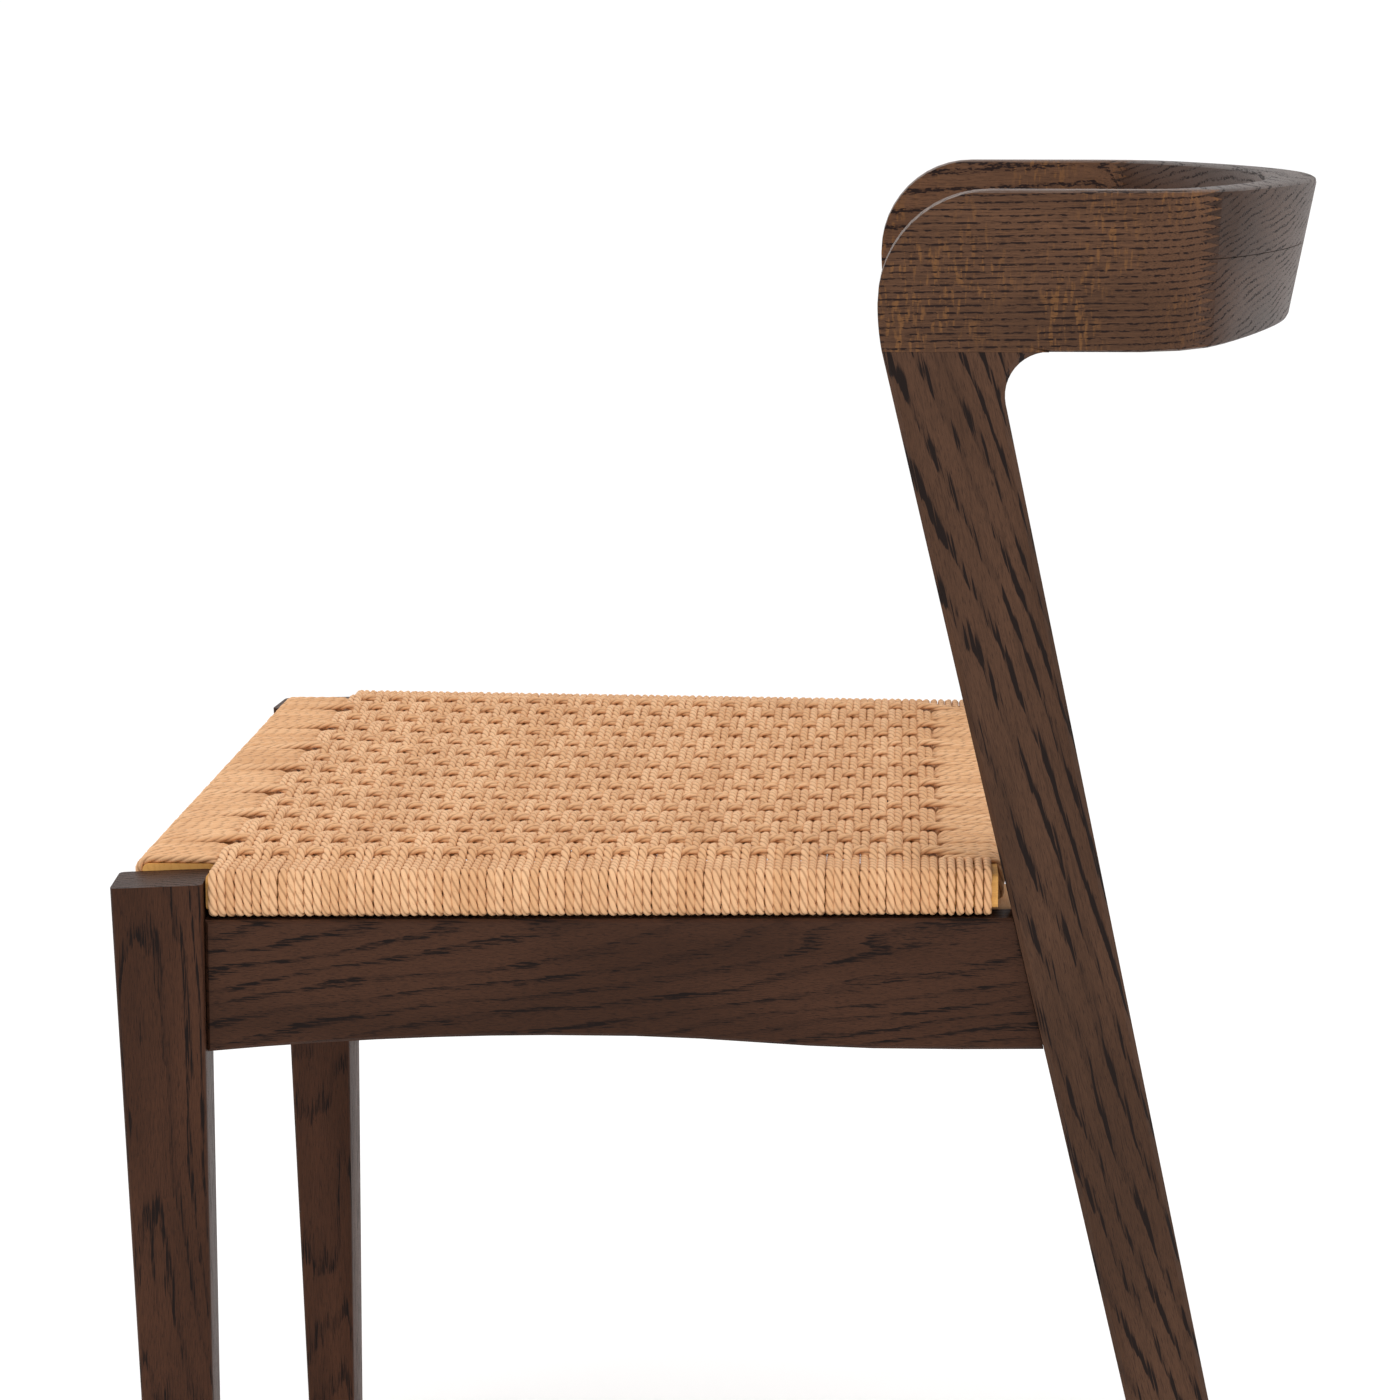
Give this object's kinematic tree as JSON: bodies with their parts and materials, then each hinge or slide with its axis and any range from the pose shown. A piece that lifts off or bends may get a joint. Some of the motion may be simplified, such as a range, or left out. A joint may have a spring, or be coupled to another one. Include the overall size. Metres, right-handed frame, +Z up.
{
  "type": "dining armchair",
  "caption": "Dining armchair: tapered front legs, leaning rear legs that turn into a horseshoe arm and back band, woven paper-cord drop-in seat.",
  "frame": {"origin": "on the floor, under the middle of the chair's width and depth", "axes": "+Z up, the sitter faces -Y, +X is the sitter's left"},
  "size_m": [0.5396, 0.551, 0.76],
  "materials": {
    "front_leg_oak": "walnut-stained oak, satin lacquer, open pores",
    "rear_leg_oak": "walnut-stained oak, satin lacquer, open pores",
    "arm_oak": "walnut-stained oak, satin lacquer, open pores, quarter-sawn with ray flecks",
    "back_oak": "walnut-stained oak, satin lacquer, open pores",
    "apron_oak": "walnut-stained oak, satin lacquer, open pores",
    "seat_frame_wood": "bare pale hardwood, sanded",
    "corner_block_beech": "bare beech, sanded",
    "dowel_beech": "fluted beech dowel",
    "screw_steel": "bright zinc plated",
    "paper_cord": "natural three-ply twisted paper cord, matt",
    "glide_nylon": "dark nylon"
  },
  "bodies": {
    "root": {"arm_block_left": "arm_oak", "arm_block_right": "arm_oak", "back_rail_lower": "back_oak", "back_rail_upper": "back_oak", "block_screw_front_1_left": "screw_steel", "block_screw_front_1_right": "screw_steel", "block_screw_front_2_left": "screw_steel", "block_screw_front_2_right": "screw_steel", "block_screw_rear_1_left": "screw_steel", "block_screw_rear_1_right": "screw_steel", "block_screw_rear_2_left": "screw_steel", "block_screw_rear_2_right": "screw_steel", "cord_wrap_left": "paper_cord", "cord_wrap_right": "paper_cord", "corner_block_front_left": "corner_block_beech", "corner_block_front_right": "corner_block_beech", "corner_block_rear_left": "corner_block_beech", "corner_block_rear_right": "corner_block_beech", "dowel_arm_1_left": "dowel_beech", "dowel_arm_1_right": "dowel_beech", "dowel_arm_2_left": "dowel_beech", "dowel_arm_2_right": "dowel_beech", "dowel_front_cross_1_left": "dowel_beech", "dowel_front_cross_1_right": "dowel_beech", "dowel_front_cross_2_left": "dowel_beech", "dowel_front_cross_2_right": "dowel_beech", "dowel_front_side_1_left": "dowel_beech", "dowel_front_side_1_right": "dowel_beech", "dowel_front_side_2_left": "dowel_beech", "dowel_front_side_2_right": "dowel_beech", "dowel_rear_cross_1_left": "dowel_beech", "dowel_rear_cross_1_right": "dowel_beech", "dowel_rear_cross_2_left": "dowel_beech", "dowel_rear_cross_2_right": "dowel_beech", "dowel_rear_side_1_left": "dowel_beech", "dowel_rear_side_1_right": "dowel_beech", "dowel_rear_side_2_left": "dowel_beech", "dowel_rear_side_2_right": "dowel_beech", "front_apron": "apron_oak", "front_leg_left": "front_leg_oak", "front_leg_right": "front_leg_oak", "glide_front_left": "glide_nylon", "glide_front_right": "glide_nylon", "glide_rear_left": "glide_nylon", "glide_rear_right": "glide_nylon", "rear_apron": "apron_oak", "rear_leg_left": "rear_leg_oak", "rear_leg_right": "rear_leg_oak", "seat_rail_front": "seat_frame_wood", "seat_rail_left": "seat_frame_wood", "seat_rail_rear": "seat_frame_wood", "seat_rail_right": "seat_frame_wood", "seat_screw_1_left": "screw_steel", "seat_screw_1_right": "screw_steel", "seat_screw_2_left": "screw_steel", "seat_screw_2_right": "screw_steel", "side_apron_left": "apron_oak", "side_apron_right": "apron_oak", "woven_panel": "paper_cord"}
  },
  "joints": []
}
